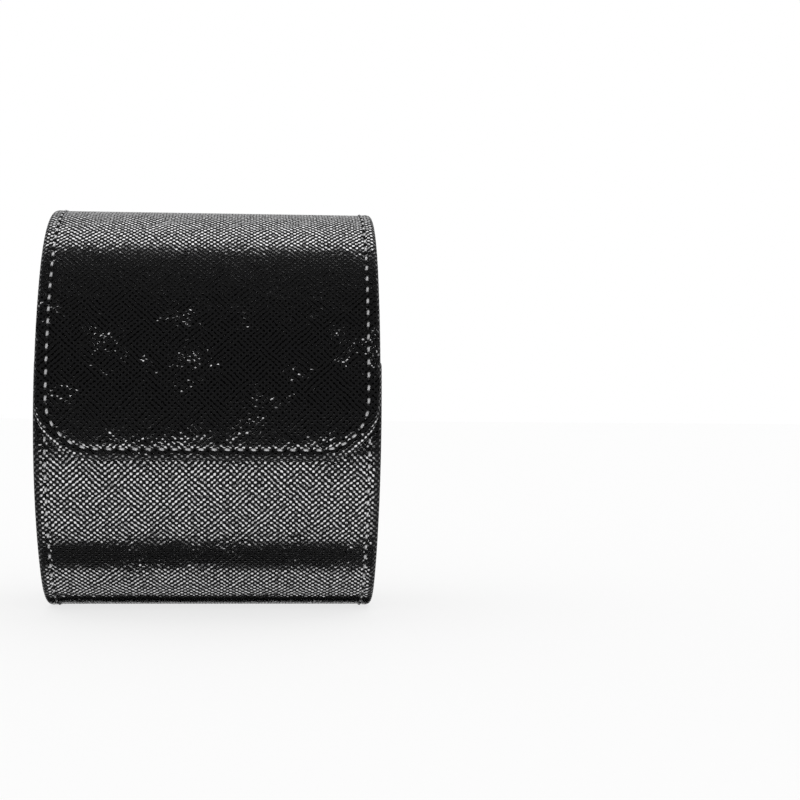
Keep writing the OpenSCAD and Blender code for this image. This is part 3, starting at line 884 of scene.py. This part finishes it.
wrap_lining = lining_strip(
    "wrap_lining", wrap_line, 37.0, LINING_DEPTH, WALL,
    last=wrap_line["length"] - LIP_RETURN - 0.1, cover=FOLD_DEPTH + 0.05)
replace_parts(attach(wrap_lining, "case"), "body_lining")
fold_lining = lining_strip("fold_lining", fold_line, FLAP_W / 2 - 1.2, 1.1, FOLD_DEPTH)
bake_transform(fold_lining)
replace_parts(fold_lining, "hinge_lining")

# %% Lining of the flap
SNAP_X, ROOM_R, ROOM_DEEP, DRAWN_IN, EDGE_R = 22, 5.4, 0.8, 1.1, 0.5
FINER_STEPS = [5.0, 5.5, *np.arange(6.5, 13.0, 0.5)]
snap_down = float(np.interp(-MID_Z, -flap_line["point"][:, 1], flap_line["along"] - flap_line["along"][0]))


def snap_rooms(x, down):
    """Draws the grid on to a true circle round each snap."""
    for sign in (1, -1):
        dx, dd = x - sign * SNAP_X, down - snap_down
        r = np.hypot(dx, dd)
        near = (r > ROOM_R - 0.45) & (r < ROOM_R + 0.45)
        target = np.where(r < ROOM_R, ROOM_R - 0.04, ROOM_R + 0.06)
        x = np.where(near, sign * SNAP_X + dx / r * target, x)
        down = np.where(near, snap_down + dd / r * target, down)
    return x, down


def lining_relief(inset, run, x, down):
    row = 0.25 * bell(inset - ROW_IN + DRAWN_IN, 0.45) * np.clip((inset - EDGE_R) / 0.3, 0, 1)
    return -np.where(np.hypot(np.abs(x) - SNAP_X, down - snap_down) < ROOM_R, ROOM_DEEP, row)


glued = FLAP_LINING_DEPTH + 0.03
lining_levels = [
    (EDGE_R * sin(a), FLAP_T - EDGE_R + EDGE_R * cos(a), 0) for a in np.radians([20, 45, 70, 90])]
flap_lining = tray(
    "flap_lining_suede", flap_line, FLAP_W / 2 - DRAWN_IN, flap_len - DRAWN_IN,
    FLAP_CORNER - DRAWN_IN, (FLAP_T, glued), lining_levels + [(EDGE_R, glued, 0), (0.0, glued, 0)],
    lining_suede, EDGE_R, relief=lining_relief, fit=snap_rooms, extra=FINER_STEPS)
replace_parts(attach(flap_lining, "flap"), "flap_lining")

# %% [markdown]
# ## The cushion
# The watch is buckled round a padded roll: a soft suede sleeve over foam, closed at both ends by a
# stuffed panel and a corded seam. The seams hold while the padding pushes, so the sleeve swells
# between them and puckers where it is held. That is what cloth does under pressure, so the cover
# starts a little slack and is inflated with its seam rings pinned.

# %% Outline and slack cover of the cushion
GIRTH_R, GIRTH_FLAT, CUSHION_Z, SEAM_X, SEAM_R = 23.0, 20.0, 37.1, 33.5, 20.3


def girth_outline(count):
    """Places round the roll: the round centre's height, the way out (y, z), and the running length."""
    arc, spots = pi * GIRTH_R, []
    for run in np.linspace(0, 2 * (arc + GIRTH_FLAT), count + 1)[:-1]:
        half, rest = divmod(run, arc + GIRTH_FLAT)
        side, angle = 1 if half == 0 else -1, min(rest / GIRTH_R, pi)
        height = GIRTH_FLAT / 2 - max(rest - arc, 0)
        spots.append((side * height, side * cos(angle), side * sin(angle), run))
    return np.array(spots)


def cushion_point(x, radius, spot, shrink=1.0):
    return np.array([x, radius * spot[1], CUSHION_Z + spot[0] * shrink + radius * spot[2]]) * MM


girth = girth_outline(104)
end = [(34.3, 0.25), (34.27, 4.0), (34.2, 8.0), (34.1, 12.0), (33.95, 16.0), (33.75, 18.8)]
end += [(SEAM_X, SEAM_R)]
profile = [(-x, r) for x, r in end]
profile += [(x, 20.7 + 1.2 * (1 - (x / SEAM_X) ** 4)) for x in np.linspace(-SEAM_X, SEAM_X, 31)[1:-1]]
profile += end[::-1]
points, cover_rings = [], []
for x, radius in profile:
    add_ring(points, cover_rings, [cushion_point(x, radius, spot, min(1.0, radius / 14)) for spot in girth])
cushion_cover = make_piece("cushion_padded", points, tube(cover_rings), cushion_suede, corner=75)


# %% [markdown]
# Blender's cloth is tuned for furniture, so the cover is simulated eight times its size and then
# shrunk back. How far a point may move is capped, so the roll keeps clear of the case.

# %% Inflating the cover
def inflate(piece, held, pressure, cap, grow, room, frames=20, scale=8.0):
    start = np.array([v.co for v in piece.data.vertices])
    piece.data.transform(((scale, 0, 0, 0), (0, scale, 0, 0), (0, 0, scale, 0), (0, 0, 0, 1)))
    piece.vertex_groups.new(name="held").add(held, 1.0, "REPLACE")
    cloth = piece.modifiers.new("cloth", "CLOTH")
    settings = cloth.settings
    settings.quality, settings.mass, settings.shrink_min = 6, 0.15, grow
    settings.use_pressure, settings.uniform_pressure_force = True, pressure
    settings.vertex_group_mass, settings.effector_weights.gravity = "held", 0
    cloth.collision_settings.use_collision = False
    for f in range(1, frames + 1):
        scene.frame_set(f)
    done = piece.evaluated_get(bpy.context.evaluated_depsgraph_get())
    step = np.array([v.co for v in done.data.vertices]) / scale - start
    piece.modifiers.remove(cloth)
    scene.frame_set(1)
    far = np.linalg.norm(step, axis=1)
    start = start + step * np.minimum(1, cap / np.maximum(far, 1e-9))[:, None]
    start[:, 0] = np.clip(start[:, 0], -room, room)
    print("points moved, mm: mean", round(far.mean() / MM, 2), "most", round(far.max() / MM, 2))
    return start


PUCKER, PUCKER_PITCH = 0.32, 7.4
seam = len(end) - 1
held = cover_rings[seam] + cover_rings[-seam - 1] + cover_rings[0] + cover_rings[-1]
settled = inflate(cushion_cover, held, pressure=5.0, cap=1.2 * MM, grow=-0.07, room=35.25 * MM)
smooth = cushion_cover.modifiers.new("smooth", "SUBSURF")
smooth.levels = smooth.render_levels = 1
for (x, _), ring in list(zip(profile, cover_rings))[seam + 1:-seam - 1]:
    turn = 2 * np.pi * girth[:, 3] / PUCKER_PITCH + 1.4 * np.sin(girth[:, 3] / 11) + x
    pull = PUCKER * bell(SEAM_X - abs(x), 5.0) * (1 + np.cos(turn))
    settled[ring, 1:] -= girth[:, 1:3] * pull[:, None] * MM
cushion_cover.data.vertices.foreach_set("co", settled.astype(np.float32).ravel())
cushion_cover.data.update()
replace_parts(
    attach(cushion_cover, "cushion"),
    "cushion_cover", "cushion_foam", "left_cushion_end", "right_cushion_end")
print("cushion box, mm:", np.round(settled.min(0) / MM, 1), np.round(settled.max(0) / MM, 1))

# %% [markdown]
# The corded seams are narrow leather tubes sewn in between the sleeve and the ends. They ripple
# slightly where the stitches pull them.


# %% Piping
CORD_X, CORD_AT, CORD_R, RIPPLE, RIPPLE_PITCH = 34.05, 20.85, 0.86, 0.05, 2.6


def piping(name, sign):
    points, flat, rings = [], [], []
    turn = np.radians(np.arange(0, 360, 36))
    for spot in girth_outline(220):
        r = CORD_R + RIPPLE * cos(2 * pi * spot[3] / RIPPLE_PITCH)
        add_ring(points, rings, [
            cushion_point(sign * (CORD_X + r * cos(a)), CORD_AT + r * sin(a), spot) for a in turn])
        flat += [(a * r, spot[3]) for a in turn]
    piece = make_piece(name, points, bridge(rings + rings[:1]), plain_leather, flat)
    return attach(piece, "cushion")


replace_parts(piping("left_cord_seam", -1), "left_cushion_piping")
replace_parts(piping("right_cord_seam", 1), "right_cushion_piping")

# %% [markdown]
# ## Camera
# The photograph looks straight at the front from under four case-heights away, a touch from the
# right and rolled by half a degree, with the case left of the middle. The camera turns a little
# away from the case, and a small sideways shift keeps the case's edges parallel.

# %% Camera
SENSOR, PICTURE, FOCAL_PX, DISTANCE, SHIFT = 36.0, 800, 1407.0, 0.36, 0.08
CASE_AT_PX, ABOVE_PX, FROM_RIGHT, ROLLED = 212.8, 9.9, radians(1.6), radians(-0.45)
camera_data = bpy.data.cameras.new("camera")
camera_data.sensor_width = SENSOR
camera_data.lens = SENSOR * FOCAL_PX / PICTURE
camera_data.shift_x = SHIFT
camera = put("camera", camera_data)
camera.location = (DISTANCE * sin(FROM_RIGHT), -DISTANCE * cos(FROM_RIGHT), MID_Z * MM)
aside = atan((PICTURE / 2 - CASE_AT_PX - SHIFT * PICTURE) / FOCAL_PX) - FROM_RIGHT
camera.rotation_euler = (radians(90) + atan(ABOVE_PX / FOCAL_PX), ROLLED, -aside)
scene.camera = camera
print("lens", round(camera_data.lens, 1), "mm, turned", round(degrees(aside), 2), "degrees")

# %% [markdown]
# ## Floor, backdrop and light
# A white table in a white room, a weak and very wide sun from above, and black cards that only
# reflections see. The big card leans in front of the case and makes the flap read as black:
# lacquer shows whatever stands opposite it. Two narrow black strips on the table are painted
# shadow: they lie where the case shades the table and darken the case's foot in its reflections,
# where the table's glow would wash that shadow out. The world gives a little less light than it shows.

# %% Stage and lamps
scene.view_settings.view_transform = "Standard"


def seen_directly(tree):
    path = node(tree, "LightPath").outputs
    either = maths(tree, "MAXIMUM", path["Is Camera Ray"], path["Is Glossy Ray"])
    return maths(tree, "MAXIMUM", either, path["Is Transmission Ray"])


def panel(name, width, height, location, lean, material):
    mesh = bpy.data.meshes.new(name)
    corners = [(x * width / 2, y * height / 2, 0) for x, y in ((-1, -1), (1, -1), (1, 1), (-1, 1))]
    mesh.from_pydata(corners, [], [(0, 1, 2, 3)])
    mesh.materials.append(material)
    made = put(name, mesh)
    made.location, made.rotation_euler = location, (radians(lean), 0, 0)
    return made


scene.world = bpy.data.worlds.new("studio")
scene.world.use_nodes = True
tree = scene.world.node_tree
brightness = times(tree, seen_directly(tree), 0.1, 0.9)
fill(tree, tree.nodes["Background"], {"Color": (1, 1, 1, 1), "Strength": brightness})

table_finish, tree, shader = finish("white_table", Roughness=0.9, Specular_IOR_Level=0.1)
paper = noise(tree, object_place(tree), 800.0)
fill(tree, shader, {"Base Color": mix(tree, paper, (0.93, 0.93, 0.93, 1), (0.95, 0.95, 0.95, 1))})
glow = node(tree, "Emission", {"Color": (1, 1, 1, 1), "Strength": 1.0}).outputs[0]
lit = times(tree, seen_directly(tree), 0.75)
lift = node(tree, "MixShader", {0: lit, 1: shader.outputs[0], 2: glow}).outputs[0]
fill(tree, tree.nodes["Material Output"], {"Surface": lift})
panel("table", 12.0, 12.0, (0, 0, -0.00002), 0, table_finish)

DARK = (0.004, 0.004, 0.004, 1)
black_card = finish("black_card", Base_Color=DARK, Roughness=0.95, Specular_IOR_Level=0.0)[0]
# The two strips are painted shadow: black sheets where the case shades the table, seen only in reflections.
for card in (
    panel("black_card", 0.6, 0.324, (0.0, -0.076, 0.1555), 90 - 17.6, black_card),
    panel("painted_shadow_strip", 0.092, 0.0115, (0.0, -0.03045, 0.0002), 0, black_card),
    panel("painted_contact_shadow", 0.084, 0.0044, (0.0, -0.0114, 0.0002), 0, black_card),
):
    card.visible_camera = card.visible_shadow = card.visible_diffuse = False

sun_data = bpy.data.lights.new("overhead", "SUN")
sun_data.energy, sun_data.angle = 0.25, radians(60)
put("overhead", sun_data).rotation_euler = (radians(-8), 0, 0)

# %% [markdown]
# ## Carried-over parts
# The boards and the snaps are right as they come, so they keep their own shapes and only get
# their finish.

# %% Finishes of the carried-over parts
CARRIED = {
    pressed_board: ["body_board", "flap_board", "left_cheek_board", "right_cheek_board"],
    plated_metal: ["snap_studs", "snap_rivets", "snap_caps", "snap_sockets", "snap_springs"],
}
for material, names in CARRIED.items():
    for name in names:
        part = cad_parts[name]
        part.data.materials.clear()
        part.data.materials.append(material)
print("finished as they came:", *CARRIED.values())
